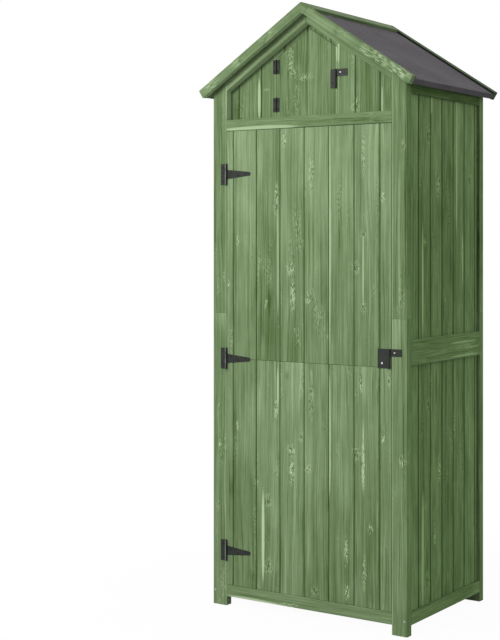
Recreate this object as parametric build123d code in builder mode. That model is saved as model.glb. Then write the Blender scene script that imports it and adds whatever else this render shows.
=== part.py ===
"""Tall garden storage shed: plank walls on corner posts, felted gable roof, ledged door and gable hatch."""

import os
from math import cos, radians, sin, tan

from build123d import *

os.makedirs("parts", exist_ok=True)

# Overall sizes, in millimetres. Front faces -Y, the ground is z = 0.
body_width = 680.0
body_depth = 472.0
side_overhang = 34.5
front_overhang = 28.0
rear_overhang = 30.0
ridge_height = 1799.0
roof_pitch = radians(32.4)

# Posts and rails
post_width = 50.0
post_depth = 25.0
post_splice = 886.0
splice_bevel = 1.0
rail_bottom = 28.0
rail_height = 35.5
header_drop = 117.5
header_height = 33.5
belly_drop = 131.0
belly_height = 73.0
top_rail_height = 34.0
eave_clearance = 1.0
strip_thickness = 9.0
wood_round = 2.0
rail_bevel = 1.2

# Tongue-and-groove boards
board_thickness = 10.0
board_gap = 0.8
board_bevel = 2.4
tongue_length = 4.0
tongue_play = 0.4
panel_gap = 1.0
side_pitch = 70.3
side_first = 55.3
back_pitch = 85.0
back_first = 35.0
gable_pitch = 83.0
gable_first = 57.4
gable_lap = 22.0

# Roof layers, measured square to the slope from the top edge of the barge boards
cap_thickness = 8.0
cap_width = 38.0
felt_thickness = 2.0
felt_upstand = 6.0
deck_thickness = 14.0
deck_pitch = 88.0
barge_width = 26.0
barge_thickness = 18.0
barge_joint = 28.0
rafter_width = 23.0

# Floor, shelves and loft
floor_thickness = 12.0
floor_pitch = 84.4
floor_gap = 2.0
bearer_width = 25.0
bearer_height = 22.0
bearer_spacing = 220.0
batten = 20.0
upright_width = 25.0
upright_depth = 30.0
shelf_front = 130.0
shelf_thickness = 10.0
shelf_heights = (420.0, 770.0, 1120.0)
shelf_pitch = 74.25
cleat_width = 18.0
cleat_height = 22.0
loft_bearer_height = 25.0
loft_thickness = 10.0
loft_rise = 8.5

# Door
door_gap = 1.2
door_thickness = 12.0
door_seam = 749.0
door_pitch = 85.95
door_first = 24.3
ledge_height = 70.0
ledge_thickness = 18.0
ledge_inset = 26.0

# Hatch in the front gable
hatch_left = -122.2
hatch_right = 93.5
hatch_gap = 1.2
hatch_joint_gap = 0.3
hatch_joint_bevel = 0.5
hatch_drop = 15.0
hatch_ledge_height = 34.0
hatch_ledge_thickness = 12.0
hatch_ledge_inset = 12.0

# Strap hinges of the door
hinge_rise = 103.0
hinge_fall = 130.0
leaf_height = 63.0
leaf_width = 21.0
leaf_screw_inset = 10.0
leaf_screw_spacing = 40.0
leaf_thickness = 2.0
strap_length = 88.5
strap_root = 28.0
strap_tip = 10.0
strap_screw_inset = 17.0
strap_screw_pitch = 27.0
strap_screw_stagger = 5.0
knuckle_radius = 3.6
knuckle_play = 0.4
pin_radius = 1.8
pin_fit = 0.05
pin_stickout = 1.2

# Butt hinges of the hatch
butt_rise = 38.0
butt_fall = 25.0
butt_height = 42.0
butt_width = 11.5
butt_thickness = 1.6
butt_knuckle = 14.0
butt_radius = 2.8
butt_pin = 1.3
butt_screw_inset = 4.0
butt_screw_spacing = 26.0

# Hasps: a leaf on the door or hatch, and a strap over a stud beside it
hasp_thickness = 2.0
hasp_radius = 3.4
hasp_pin = 1.6
hasp_hole = 3.3
hasp_setback = 5.0
hasp_height = 55.0
hasp_reach = 39.5
hasp_strap_height = 20.5
door_hasp_width = 38.5
door_hasp_drop = 2.5
hatch_hasp_width = 18.0
hatch_hasp_rise = 76.0
hasp_screw_inset = 14.5
hatch_screw_inset = 7.0
stud_offset = 18.5
stud_radius = 2.0
stud_length = 7.0
stud_eye = 0.8

# Screws
head_radius = 3.0
head_height = 1.4
shank_radius = 1.5
hole_play = 0.1
pilot_depth = 8.0
post_screw_inset = 8.5
post_screw_drop = 3.0

# Derived places
roof_width = body_width + 2 * side_overhang
roof_depth = body_depth + front_overhang + rear_overhang
y_front = front_overhang - roof_depth / 2
y_back = y_front + body_depth
half_body = body_width / 2
half_open = half_body - post_width
y_frame = y_front + post_depth
y_rear = y_back - post_depth
y_gable = y_frame
y_loft = y_gable + board_thickness + panel_gap
y_lining = y_back - strip_thickness - board_thickness
x_cladding = half_body - strip_thickness
x_lining = x_cladding - board_thickness
felt_depth = cap_thickness
deck_depth = felt_depth + felt_thickness
seat_depth = deck_depth + deck_thickness
eave_height = ridge_height - half_body * tan(roof_pitch) - seat_depth / cos(roof_pitch)
wall_top = eave_height - eave_clearance
top_rail_bottom = wall_top - top_rail_height
rail_top = rail_bottom + rail_height
header_bottom = eave_height - header_drop
header_top = header_bottom + header_height
loft_height = header_bottom + loft_rise
belly_bottom = post_splice - belly_drop
panel_joint = belly_bottom + belly_height / 2
rafter_depth = seat_depth + rafter_width
hatch_depth = rafter_depth + hatch_drop
hatch_bottom = header_top + hatch_gap
hatch_shoulder = ridge_height + hatch_left * tan(roof_pitch) - hatch_depth / cos(roof_pitch)
eave_run = roof_width / 2 / cos(roof_pitch)
y_deck_front = y_front - front_overhang + barge_thickness
y_deck_back = y_back + rear_overhang - barge_thickness
deck_length = y_deck_back - y_deck_front
floor_bottom = rail_top - floor_thickness
y_shelf = y_front + shelf_front
y_shelf_back = y_rear - batten
shelf_depth = y_shelf_back - y_shelf
half_door = half_open - door_gap
door_bottom = rail_top + door_gap
door_top = header_bottom - door_gap
hinge_x = -half_open + door_gap / 2
hinge_y = y_front - knuckle_radius
hinge_heights = (door_bottom + hinge_rise, door_seam, door_top - hinge_fall)
strap_tip_x = hinge_x + strap_length
butt_x = hatch_left - hatch_gap / 2
butt_y = y_gable - butt_radius
butt_heights = (hatch_bottom + butt_rise, hatch_shoulder - butt_fall)

leaf_rows = (-leaf_screw_spacing / 2, leaf_screw_spacing / 2)
leaf_screws = [(hinge_x - leaf_width + leaf_screw_inset, z + dz) for z in hinge_heights for dz in leaf_rows]
strap_rows = [
    (strap_screw_inset + i * strap_screw_pitch, dz)
    for i, dz in enumerate((strap_screw_stagger, -strap_screw_stagger, 0.8 * strap_screw_stagger))
]
strap_screws = [(hinge_x + x, z + dz) for z in hinge_heights for x, dz in strap_rows]
butt_rows = [z + dz for z in butt_heights for dz in (-butt_screw_spacing / 2, butt_screw_spacing / 2)]
butt_frame_screws = [(butt_x - butt_width + butt_screw_inset, z) for z in butt_rows]
butt_hatch_screws = [(butt_x + butt_width - butt_screw_inset, z) for z in butt_rows]
post_screw_x = half_body - post_screw_inset
post_screw_z = rail_bottom + rail_height / 2 - post_screw_drop
door_hasp_x = half_door - hasp_setback
door_hasp_z = door_seam - door_hasp_drop
door_hasp_screw = (door_hasp_x - door_hasp_width + hasp_screw_inset, door_hasp_z + hasp_screw_inset)
hatch_hasp_x = hatch_right - hasp_setback
hatch_hasp_z = hatch_bottom + hatch_hasp_rise
hatch_hasp_screw = (hatch_hasp_x - hatch_hasp_width + hatch_screw_inset, hatch_hasp_z + hasp_screw_inset)
stud_rise = hasp_height - hasp_strap_height / 2
door_stud = (door_hasp_x + stud_offset, door_hasp_z + stud_rise)
hatch_stud = (hatch_hasp_x + stud_offset, hatch_hasp_z + stud_rise)


def facing(y):
    """Upright plane across the shed at depth y; a positive extrusion comes forward."""
    return Plane.XZ.offset(-y)


def roof_line(x, depth):
    """Height of the roof layer that lies depth below the top of the slope, at distance x from the ridge."""
    return ridge_height - abs(x) * tan(roof_pitch) - depth / cos(roof_pitch)


def on_slope(run, depth, side=1):
    """Point at a run down the slope from the ridge and a depth below it, on the right (1) or left (-1)."""
    x = run * cos(roof_pitch) - depth * sin(roof_pitch)
    z = ridge_height - run * sin(roof_pitch) - depth * cos(roof_pitch)
    return (side * x, z)


def at_ridge(depth):
    """Point under the ridge at a layer's depth."""
    return (0, roof_line(0, depth))


def above_roof():
    """Outline of the space over the underside of the roof deck."""
    x = half_body + post_width
    edge = roof_line(x, seat_depth)
    over = ridge_height + post_width
    return [(-x, edge), at_ridge(seat_depth), (x, edge), (x, over), (-x, over)]


def hatch_outline(margin, bottom):
    """House-shaped outline of the hatch, grown by a margin."""
    left = hatch_left - margin
    right = hatch_right + margin
    depth = hatch_depth - margin
    return [
        (left, bottom),
        (right, bottom),
        (right, roof_line(right, depth)),
        at_ridge(depth),
        (left, roof_line(left, depth)),
    ]


def boards_between(start, stop, first, pitch):
    """Edges of the boards that cover a width: a first board, full boards and what is left."""
    edges = [start]
    edge = start + first
    while edge < stop - pitch / 8:
        edges.append(edge)
        edge += pitch
    edges.append(stop)
    return list(zip(edges, edges[1:]))


def board_outline(start, stop, thickness, groove, tongue, gap, bevel):
    """Section of one board as (across, in) points, bevelled on its outer face."""
    stop = stop - gap
    low = 0.38 * thickness
    high = 0.66 * thickness
    points = [(start + bevel, 0), (stop - bevel, 0), (stop, bevel)]
    if tongue:
        tip = stop + tongue_length
        points += [(stop, low), (tip, low), (tip, high), (stop, high)]
    points += [(stop, thickness), (start, thickness)]
    if groove:
        root = start + tongue_length
        points += [(start, high + tongue_play), (root, high + tongue_play)]
        points += [(root, low - tongue_play), (start, low - tongue_play)]
    points.append((start, bevel))
    return points


def panel_outlines(boards, thickness, gap=board_gap, bevel=board_bevel):
    """Sections of the boards of one panel, each with its groove and tongue inside the panel."""
    last = len(boards) - 1
    return [
        board_outline(start, stop, thickness, i > 0, i < last, gap, bevel)
        for i, (start, stop) in enumerate(boards)
    ]


side_boards = panel_outlines(boards_between(y_frame, y_rear, side_first, side_pitch), board_thickness)
back_boards_plan = panel_outlines(
    boards_between(-half_open, half_open, back_first, back_pitch), board_thickness
)
gable_spans = boards_between(gable_lap - half_body, half_body - gable_lap, gable_first, gable_pitch)
gable_plan = panel_outlines(gable_spans, board_thickness)
hatch_plan = panel_outlines(gable_spans, board_thickness, hatch_joint_gap, hatch_joint_bevel)
door_plan = panel_outlines(boards_between(-half_door, half_door, door_first, door_pitch), door_thickness)

# Corner posts, each spliced from a lower and an upper length
screw_hole = shank_radius + hole_play
stud_hole = stud_radius + hole_play
corners = (
    ("front_left", -1, y_front, [(p, screw_hole) for p in [*leaf_screws, (-post_screw_x, post_screw_z)]]),
    ("front_right", 1, y_front, [(door_stud, stud_hole), ((post_screw_x, post_screw_z), screw_hole)]),
    ("rear_left", -1, y_rear, []),
    ("rear_right", 1, y_rear, []),
)
for corner, side, y_corner, holes in corners:
    inner = side * half_open
    outer = side * half_body
    low_holes = [hole for hole in holes if hole[0][1] < post_splice]
    high_holes = [hole for hole in holes if hole[0][1] > post_splice]

    with BuildPart() as post_lower:
        with BuildSketch():
            with Locations(((inner + outer) / 2, y_corner + post_depth / 2)):
                Rectangle(post_width, post_depth)
        extrude(amount=post_splice)
        fillet(post_lower.edges().filter_by(Axis.Z), radius=wood_round)
        chamfer(post_lower.faces().sort_by(Axis.Z)[-1].edges(), length=splice_bevel)
        if low_holes:
            with BuildSketch(facing(y_corner)):
                for place, radius in low_holes:
                    with Locations(place):
                        Circle(radius)
            extrude(amount=-pilot_depth - hole_play, mode=Mode.SUBTRACT)
    post_lower.part.label = f"{corner}_post_lower"
    export_step(post_lower.part, f"parts/{corner}_post_lower.step")

    with BuildPart() as post_upper:
        with BuildSketch(facing(y_corner + post_depth)):
            with BuildLine():
                Polyline(
                    (inner, post_splice),
                    (outer, post_splice),
                    (outer, roof_line(outer, seat_depth)),
                    (inner, roof_line(inner, seat_depth)),
                    close=True,
                )
            make_face()
        extrude(amount=post_depth)
        fillet(post_upper.edges().filter_by(Axis.Z), radius=wood_round)
        chamfer(post_upper.faces().sort_by(Axis.Z)[0].edges(), length=splice_bevel)
        if high_holes:
            with BuildSketch(facing(y_corner)):
                for place, radius in high_holes:
                    with Locations(place):
                        Circle(radius)
            extrude(amount=-pilot_depth - hole_play, mode=Mode.SUBTRACT)
    post_upper.part.label = f"{corner}_post_upper"
    export_step(post_upper.part, f"parts/{corner}_post_upper.step")

# Front rails between the posts
with BuildPart() as front_bottom_rail:
    with BuildSketch(facing(y_frame)):
        with Locations((0, rail_bottom + rail_height / 2)):
            Rectangle(2 * half_open, rail_height)
    extrude(amount=post_depth)
    chamfer(front_bottom_rail.edges().filter_by(Axis.X), length=rail_bevel)
front_bottom_rail.part.label = "front_bottom_rail"
export_step(front_bottom_rail.part, "parts/front_bottom_rail.step")

with BuildPart() as header_rail:
    with BuildSketch(facing(y_frame)):
        with Locations((0, header_bottom + header_height / 2)):
            Rectangle(2 * half_open, header_height)
    extrude(amount=post_depth)
    chamfer(header_rail.edges().filter_by(Axis.X), length=rail_bevel)
header_rail.part.label = "header_rail"
export_step(header_rail.part, "parts/header_rail.step")

# Rails nailed outside the side and back boards, flush with the posts
side_rails = (
    ("bottom_side_rails", rail_bottom, rail_height),
    ("belly_side_rails", belly_bottom, belly_height),
    ("top_side_rails", top_rail_bottom, top_rail_height),
)
for rail_name, low, height in side_rails:
    with BuildPart() as rail_pair:
        with BuildSketch(Plane.XY.offset(low)):
            with Locations(
                (-(x_cladding + strip_thickness / 2), (y_frame + y_rear) / 2),
                (x_cladding + strip_thickness / 2, (y_frame + y_rear) / 2),
            ):
                Rectangle(strip_thickness, y_rear - y_frame)
        extrude(amount=height)
        chamfer(rail_pair.edges().filter_by(Axis.Y), length=rail_bevel)
    rail_pair.part.label = rail_name
    export_step(rail_pair.part, f"parts/{rail_name}.step")

for rail_name, low, height in (
    ("back_bottom_rail", rail_bottom, rail_height),
    ("back_belly_rail", belly_bottom, belly_height),
):
    with BuildPart() as back_rail:
        with BuildSketch(facing(y_back)):
            with Locations((0, low + height / 2)):
                Rectangle(2 * half_open, height)
        extrude(amount=strip_thickness)
        chamfer(back_rail.edges().filter_by(Axis.X), length=rail_bevel)
    back_rail.part.label = rail_name
    export_step(back_rail.part, f"parts/{rail_name}.step")

# Side walls: a lower and an upper panel of boards that meet behind the belly rail
for wall_name, side in (("left_side_boards", -1), ("right_side_boards", 1)):
    with BuildPart() as side_wall:
        for low, high in (
            (rail_bottom, panel_joint - panel_gap / 2),
            (panel_joint + panel_gap / 2, wall_top),
        ):
            with BuildSketch(Plane.XY.offset(low)):
                for outline in side_boards:
                    with BuildLine():
                        Polyline(*[(side * (x_cladding - v), u) for u, v in outline], close=True)
                    make_face()
            extrude(amount=high - low)
    side_wall.part.label = wall_name
    export_step(side_wall.part, f"parts/{wall_name}.step")

# Back wall: the upper panel runs up into the rear gable
with BuildPart() as back_boards:
    for low, high in (
        (rail_bottom, panel_joint - panel_gap / 2),
        (panel_joint + panel_gap / 2, ridge_height),
    ):
        with BuildSketch(Plane.XY.offset(low)):
            for outline in back_boards_plan:
                with BuildLine():
                    Polyline(*[(u, y_lining + board_thickness - v) for u, v in outline], close=True)
                make_face()
        extrude(amount=high - low)
    with BuildSketch(facing(y_back)):
        with BuildLine():
            Polyline(*above_roof(), close=True)
        make_face()
    extrude(amount=post_depth, mode=Mode.SUBTRACT)
back_boards.part.label = "back_boards"
export_step(back_boards.part, "parts/back_boards.step")

# Front gable boards behind the posts and rafters, cut round the hatch
with BuildPart() as gable_boards:
    with BuildSketch(Plane.XY.offset(header_bottom + rail_bevel)):
        for outline in gable_plan:
            with BuildLine():
                Polyline(*[(u, y_gable + v) for u, v in outline], close=True)
            make_face()
    extrude(amount=ridge_height - header_bottom)
    with BuildSketch(facing(y_gable + 2 * board_thickness)):
        with BuildLine():
            Polyline(*above_roof(), close=True)
        make_face()
        with BuildLine():
            Polyline(*hatch_outline(hatch_gap, header_bottom - post_depth), close=True)
        make_face()
    extrude(amount=3 * board_thickness, mode=Mode.SUBTRACT)
    with BuildSketch(facing(y_gable)):
        with Locations(*butt_frame_screws):
            Circle(shank_radius + hole_play)
        with Locations(hatch_stud):
            Circle(stud_radius + hole_play)
    extrude(amount=-pilot_depth - hole_play, mode=Mode.SUBTRACT)
gable_boards.part.label = "gable_boards"
export_step(gable_boards.part, "parts/gable_boards.step")

# Rafters at the front, flush with the posts, and at the back over the boards
for rafters_name, y_face, thickness in (
    ("front_rafters", y_frame, post_depth),
    ("rear_rafters", y_back, strip_thickness),
):
    with BuildPart() as rafters:
        with BuildSketch(facing(y_face)):
            for side in (-1, 1):
                with BuildLine():
                    Polyline(
                        (side * panel_gap / 2, roof_line(panel_gap / 2, seat_depth)),
                        (side * half_open, roof_line(half_open, seat_depth)),
                        (side * half_open, roof_line(half_open, rafter_depth)),
                        (side * panel_gap / 2, roof_line(panel_gap / 2, rafter_depth)),
                        close=True,
                    )
                make_face()
        extrude(amount=thickness)
    rafters.part.label = rafters_name
    export_step(rafters.part, f"parts/{rafters_name}.step")

# Roof slopes: deck boards along the ridge, and felt turned down over the eave
deck_run = eave_run - felt_thickness
deck_spans = boards_between(seat_depth * tan(roof_pitch) + panel_gap, deck_run, deck_pitch, deck_pitch)
for hand, side in (("left", -1), ("right", 1)):
    with BuildPart() as roof_deck:
        with BuildSketch(facing(y_deck_back)):
            for start, stop in deck_spans:
                end = stop if stop == deck_run else stop - board_gap
                with BuildLine():
                    Polyline(
                        on_slope(start, deck_depth, side),
                        on_slope(end, deck_depth, side),
                        on_slope(end, seat_depth, side),
                        on_slope(start, seat_depth, side),
                        close=True,
                    )
                make_face()
        extrude(amount=deck_length)
    roof_deck.part.label = f"roof_deck_{hand}"
    export_step(roof_deck.part, f"parts/roof_deck_{hand}.step")

    with BuildPart() as felt:
        with BuildSketch(facing(y_deck_back)):
            with BuildLine():
                Polyline(
                    at_ridge(felt_depth),
                    on_slope(eave_run, felt_depth, side),
                    on_slope(eave_run, seat_depth, side),
                    on_slope(deck_run, seat_depth, side),
                    on_slope(deck_run, deck_depth, side),
                    at_ridge(deck_depth),
                    close=True,
                )
            make_face()
        extrude(amount=deck_length)
        for y_end in (y_deck_front + felt_thickness, y_deck_back):
            with BuildSketch(facing(y_end)):
                with BuildLine():
                    Polyline(
                        on_slope(cap_width + panel_gap, felt_depth - felt_upstand, side),
                        on_slope(eave_run, felt_depth - felt_upstand, side),
                        on_slope(eave_run, felt_depth, side),
                        on_slope(cap_width + panel_gap, felt_depth, side),
                        close=True,
                    )
                make_face()
            extrude(amount=felt_thickness)
    felt.part.label = f"felt_{hand}"
    export_step(felt.part, f"parts/felt_{hand}.step")

# Ridge cap: one slat on each slope, mitred at the ridge, between the barge boards
with BuildPart() as ridge_cap:
    with BuildSketch(facing(y_deck_back)):
        for side in (-1, 1):
            with BuildLine():
                Polyline(
                    (side * panel_gap / 4, roof_line(panel_gap / 4, 0)),
                    on_slope(cap_width, 0, side),
                    on_slope(cap_width, felt_depth, side),
                    (side * panel_gap / 4, roof_line(panel_gap / 4, felt_depth)),
                    close=True,
                )
            make_face()
    extrude(amount=deck_length)
ridge_cap.part.label = "ridge_cap"
export_step(ridge_cap.part, "parts/ridge_cap.step")

# Barge boards: the left one runs past the ridge, the right one butts against its end
for end_name, y_face in (("front", y_deck_front), ("rear", y_back + rear_overhang)):
    with BuildPart() as left_barge:
        with BuildSketch(facing(y_face)):
            with BuildLine():
                Polyline(
                    at_ridge(0),
                    on_slope(barge_joint, 0),
                    on_slope(barge_joint, barge_width),
                    at_ridge(barge_width),
                    on_slope(eave_run, barge_width, -1),
                    on_slope(eave_run, 0, -1),
                    close=True,
                )
            make_face()
        extrude(amount=barge_thickness)
    left_barge.part.label = f"{end_name}_left_barge"
    export_step(left_barge.part, f"parts/{end_name}_left_barge.step")

    with BuildPart() as right_barge:
        with BuildSketch(facing(y_face)):
            with BuildLine():
                Polyline(
                    on_slope(barge_joint + board_gap / 2, 0),
                    on_slope(eave_run, 0),
                    on_slope(eave_run, barge_width),
                    on_slope(barge_joint + board_gap / 2, barge_width),
                    close=True,
                )
            make_face()
        extrude(amount=barge_thickness)
    right_barge.part.label = f"{end_name}_right_barge"
    export_step(right_barge.part, f"parts/{end_name}_right_barge.step")

# Floor boards on bearers that run from the front rail to the back boards
with BuildPart() as floor_bearers:
    with BuildSketch(Plane.XY.offset(floor_bottom - bearer_height)):
        with Locations((0, (y_frame + y_lining) / 2)):
            with GridLocations(bearer_spacing, 1, 3, 1):
                Rectangle(bearer_width, y_lining - y_frame)
    extrude(amount=bearer_height)
floor_bearers.part.label = "floor_bearers"
export_step(floor_bearers.part, "parts/floor_bearers.step")

with BuildPart() as floor_boards:
    with BuildSketch(Plane.XY.offset(floor_bottom)):
        for start, stop in boards_between(y_frame, y_rear, floor_pitch, floor_pitch):
            with Locations((0, (start + stop - floor_gap) / 2)):
                Rectangle(2 * x_lining - board_gap, stop - start - floor_gap)
    extrude(amount=floor_thickness)
floor_boards.part.label = "floor_boards"
export_step(floor_boards.part, "parts/floor_boards.step")

# Battens in the four corners, joining the posts to the side boards across the splice
corner_x = x_lining - batten / 2
with BuildPart() as corner_battens:
    with BuildSketch(Plane.XY.offset(rail_top)):
        with Locations((0, (y_frame + y_rear) / 2)):
            with GridLocations(2 * corner_x, y_rear - y_frame - batten, 2, 2):
                Rectangle(batten, batten)
    extrude(amount=loft_height - loft_bearer_height - rail_top)
corner_battens.part.label = "corner_battens"
export_step(corner_battens.part, "parts/corner_battens.step")

# Half-width shelves on cleats, between the left wall and two uprights
with BuildPart() as shelf_uprights:
    with BuildSketch(Plane.XY.offset(rail_top)):
        with Locations((0, y_shelf + upright_depth / 2), (0, y_shelf_back - upright_depth / 2)):
            Rectangle(upright_width, upright_depth)
    extrude(amount=loft_height - rail_top)
shelf_uprights.part.label = "shelf_uprights"
export_step(shelf_uprights.part, "parts/shelf_uprights.step")

with BuildPart() as shelf_cleats:
    for height in shelf_heights:
        with BuildSketch(Plane.XY.offset(height - cleat_height)):
            with Locations(
                (cleat_width / 2 - x_lining, y_shelf + shelf_depth / 2),
                (-(upright_width + cleat_width) / 2, y_shelf + shelf_depth / 2),
            ):
                Rectangle(cleat_width, shelf_depth)
        extrude(amount=cleat_height)
shelf_cleats.part.label = "shelf_cleats"
export_step(shelf_cleats.part, "parts/shelf_cleats.step")

shelf_right = -upright_width / 2 - board_gap / 2
shelf_left = board_gap / 2 - x_lining
with BuildPart() as shelf_boards:
    for height in shelf_heights:
        with BuildSketch(Plane.XY.offset(height)):
            for start, stop in boards_between(y_shelf, y_shelf_back, shelf_pitch, shelf_pitch):
                with Locations(((shelf_left + shelf_right) / 2, (start + stop - floor_gap) / 2)):
                    Rectangle(shelf_right - shelf_left, stop - start - floor_gap)
        extrude(amount=shelf_thickness)
shelf_boards.part.label = "shelf_boards"
export_step(shelf_boards.part, "parts/shelf_boards.step")

# Loft floor behind the hatch
with BuildPart() as loft_bearers:
    with BuildSketch(Plane.XY.offset(loft_height - loft_bearer_height)):
        with Locations((0, (y_loft + y_rear) / 2)):
            with GridLocations(2 * corner_x, 1, 2, 1):
                Rectangle(batten, y_rear - y_loft)
    extrude(amount=loft_bearer_height)
loft_bearers.part.label = "loft_bearers"
export_step(loft_bearers.part, "parts/loft_bearers.step")

with BuildPart() as loft_boards:
    with BuildSketch(Plane.XY.offset(loft_height)):
        for start, stop in boards_between(y_loft, y_rear, floor_pitch, floor_pitch):
            with Locations((0, (start + stop - floor_gap) / 2)):
                Rectangle(2 * x_lining - board_gap, stop - start - floor_gap)
    extrude(amount=loft_thickness)
loft_boards.part.label = "loft_boards"
export_step(loft_boards.part, "parts/loft_boards.step")

# Door: upper and lower halves of boards, held together by three ledges
door_screw_holes = strap_screws + [door_hasp_screw]
for half_name, low, high in (
    ("door_boards_lower", door_bottom, door_seam - panel_gap / 2),
    ("door_boards_upper", door_seam + panel_gap / 2, door_top),
):
    half_holes = [hole for hole in door_screw_holes if low < hole[1] < high]
    with BuildPart() as door_half:
        with BuildSketch(Plane.XY.offset(low)):
            for outline in door_plan:
                with BuildLine():
                    Polyline(*[(u, y_front + v) for u, v in outline], close=True)
                make_face()
        extrude(amount=high - low)
        with BuildSketch(facing(y_front)):
            with Locations(*half_holes):
                Circle(shank_radius + hole_play)
        extrude(amount=-pilot_depth - hole_play, mode=Mode.SUBTRACT)
    door_half.part.label = half_name
    export_step(door_half.part, f"parts/{half_name}.step")

with BuildPart() as door_ledges:
    with BuildSketch(facing(y_front + door_thickness + ledge_thickness)):
        with Locations(*[(0, z) for z in hinge_heights]):
            Rectangle(2 * (half_door - ledge_inset), ledge_height)
    extrude(amount=ledge_thickness)
    chamfer(door_ledges.faces().sort_by(Axis.Y)[-3:].edges(), length=wood_round)
door_ledges.part.label = "door_ledges"
export_step(door_ledges.part, "parts/door_ledges.step")

# Strap hinges: leaves on the left post, tapered straps on the door, one pin each
with BuildPart() as hinge_post_leaves:
    with BuildSketch(facing(y_front)):
        with Locations(*[(hinge_x - leaf_width / 2, z) for z in hinge_heights]):
            Rectangle(leaf_width, leaf_height)
    extrude(amount=leaf_thickness)
    for z in hinge_heights:
        with BuildSketch(Plane.XY.offset(z - leaf_height / 2)):
            with Locations((hinge_x, hinge_y)):
                Circle(knuckle_radius)
        extrude(amount=leaf_height)
        with Locations((hinge_x, hinge_y, z)):
            Box(
                2 * (knuckle_radius + knuckle_play),
                4 * knuckle_radius,
                strap_root + 2 * knuckle_play,
                mode=Mode.SUBTRACT,
            )
            Cylinder(pin_radius + pin_fit, leaf_height, mode=Mode.SUBTRACT)
    with BuildSketch(facing(y_front)):
        with Locations(*leaf_screws):
            Circle(shank_radius + hole_play)
    extrude(amount=leaf_thickness, mode=Mode.SUBTRACT)
hinge_post_leaves.part.label = "hinge_post_leaves"
export_step(hinge_post_leaves.part, "parts/hinge_post_leaves.step")

with BuildPart() as hinge_straps:
    with BuildSketch(facing(y_front)):
        for z in hinge_heights:
            with BuildLine():
                Polyline(
                    (hinge_x, z - strap_root / 2),
                    (strap_tip_x, z - strap_tip / 2),
                    (strap_tip_x, z + strap_tip / 2),
                    (hinge_x, z + strap_root / 2),
                    close=True,
                )
            make_face()
    extrude(amount=leaf_thickness)
    fillet(
        hinge_straps.edges().filter_by(Axis.Y).group_by(Axis.X)[-1],
        radius=strap_tip / 3,
    )
    for z in hinge_heights:
        with BuildSketch(Plane.XY.offset(z - strap_root / 2)):
            with Locations((hinge_x, hinge_y)):
                Circle(knuckle_radius)
        extrude(amount=strap_root)
        with Locations((hinge_x, hinge_y, z)):
            Cylinder(pin_radius + pin_fit, leaf_height, mode=Mode.SUBTRACT)
    with BuildSketch(facing(y_front)):
        with Locations(*strap_screws):
            Circle(shank_radius + hole_play)
    extrude(amount=leaf_thickness, mode=Mode.SUBTRACT)
hinge_straps.part.label = "hinge_straps"
export_step(hinge_straps.part, "parts/hinge_straps.step")

# Butt hinges of the hatch
butt_gap = butt_knuckle + 2 * knuckle_play
with BuildPart() as hatch_frame_leaves:
    with BuildSketch(facing(y_gable)):
        with Locations(*[(butt_x - butt_width / 2, z) for z in butt_heights]):
            Rectangle(butt_width, butt_height)
    extrude(amount=butt_thickness)
    for z in butt_heights:
        with BuildSketch(Plane.XY.offset(z - butt_height / 2)):
            with Locations((butt_x, butt_y)):
                Circle(butt_radius)
        extrude(amount=butt_height)
        with Locations((butt_x, butt_y, z)):
            Box(2 * (butt_radius + knuckle_play), 4 * butt_radius, butt_gap, mode=Mode.SUBTRACT)
            Cylinder(butt_pin + pin_fit, butt_height, mode=Mode.SUBTRACT)
    with BuildSketch(facing(y_gable)):
        with Locations(*butt_frame_screws):
            Circle(shank_radius + hole_play)
    extrude(amount=butt_thickness, mode=Mode.SUBTRACT)
hatch_frame_leaves.part.label = "hatch_frame_leaves"
export_step(hatch_frame_leaves.part, "parts/hatch_frame_leaves.step")

with BuildPart() as hatch_leaves:
    with BuildSketch(facing(y_gable)):
        with Locations(*[(butt_x + butt_width / 2, z) for z in butt_heights]):
            Rectangle(butt_width, butt_height)
    extrude(amount=butt_thickness)
    for z in butt_heights:
        with Locations((butt_x, butt_y, z)):
            Box(2 * (butt_radius + knuckle_play), 4 * butt_radius, butt_height, mode=Mode.SUBTRACT)
        with BuildSketch(facing(y_gable)):
            with Locations((butt_x + butt_radius, z)):
                Rectangle(2 * butt_radius, butt_knuckle)
        extrude(amount=butt_thickness)
        with BuildSketch(Plane.XY.offset(z - butt_knuckle / 2)):
            with Locations((butt_x, butt_y)):
                Circle(butt_radius)
        extrude(amount=butt_knuckle)
        with Locations((butt_x, butt_y, z)):
            Cylinder(butt_pin + pin_fit, butt_height, mode=Mode.SUBTRACT)
    with BuildSketch(facing(y_gable)):
        with Locations(*butt_hatch_screws):
            Circle(shank_radius + hole_play)
    extrude(amount=butt_thickness, mode=Mode.SUBTRACT)
hatch_leaves.part.label = "hatch_leaves"
export_step(hatch_leaves.part, "parts/hatch_leaves.step")

with BuildPart() as hinge_pins:
    for z in hinge_heights:
        with Locations((hinge_x, hinge_y, z)):
            Cylinder(pin_radius, leaf_height + 2 * pin_stickout)
    for z in butt_heights:
        with Locations((butt_x, butt_y, z)):
            Cylinder(butt_pin, butt_height + pin_stickout)
hinge_pins.part.label = "hinge_pins"
export_step(hinge_pins.part, "parts/hinge_pins.step")

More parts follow.
